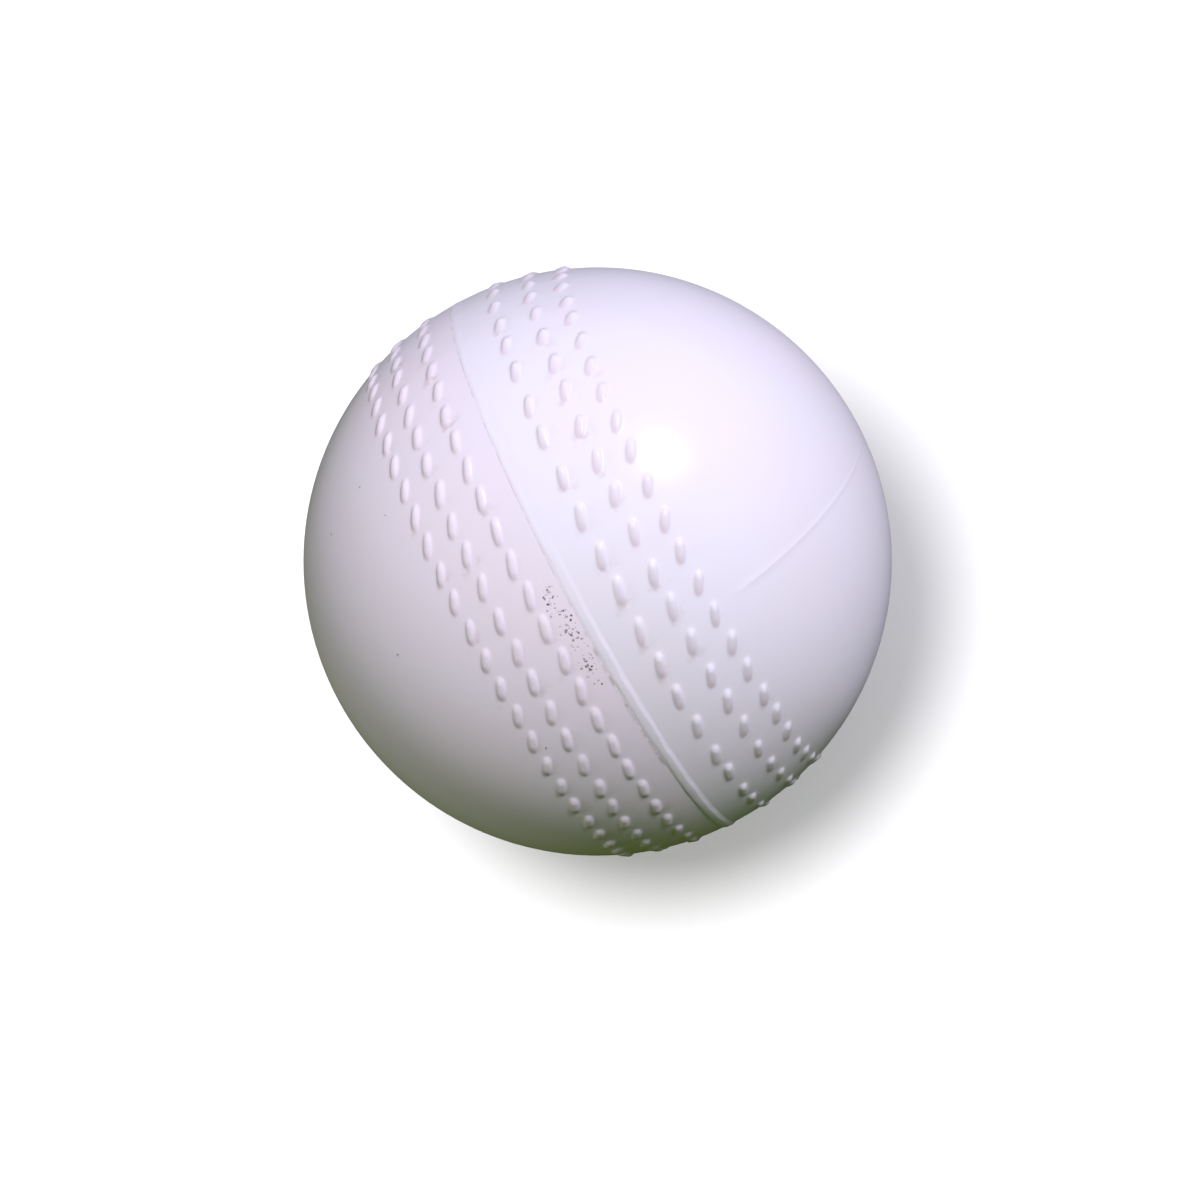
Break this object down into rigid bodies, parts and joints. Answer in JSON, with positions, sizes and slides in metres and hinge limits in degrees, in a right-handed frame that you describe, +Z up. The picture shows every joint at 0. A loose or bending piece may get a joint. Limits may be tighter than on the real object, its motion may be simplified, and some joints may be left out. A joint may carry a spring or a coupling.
{
  "type": "practice ball",
  "caption": "Hollow white moulded plastic practice ball: two smooth half shells with moulded stitch rows, joined by a tongue-and-groove weld under a raised seam bead.",
  "frame": {"origin": "centre of the ball", "axes": "+X along the seam's axis from the left half to the right half, the seam lies in the YZ plane, +Z up"},
  "size_m": [0.072, 0.0724, 0.0724],
  "materials": {
    "left_shell_plastic": "gloss",
    "right_shell_plastic": "gloss",
    "weld_plastic": "satin",
    "bead_plastic": "satin"
  },
  "bodies": {
    "root": {"left_half_shell": "left_shell_plastic", "right_half_shell": "right_shell_plastic", "groove_weld": "weld_plastic", "seam_bead": "bead_plastic"}
  },
  "joints": []
}
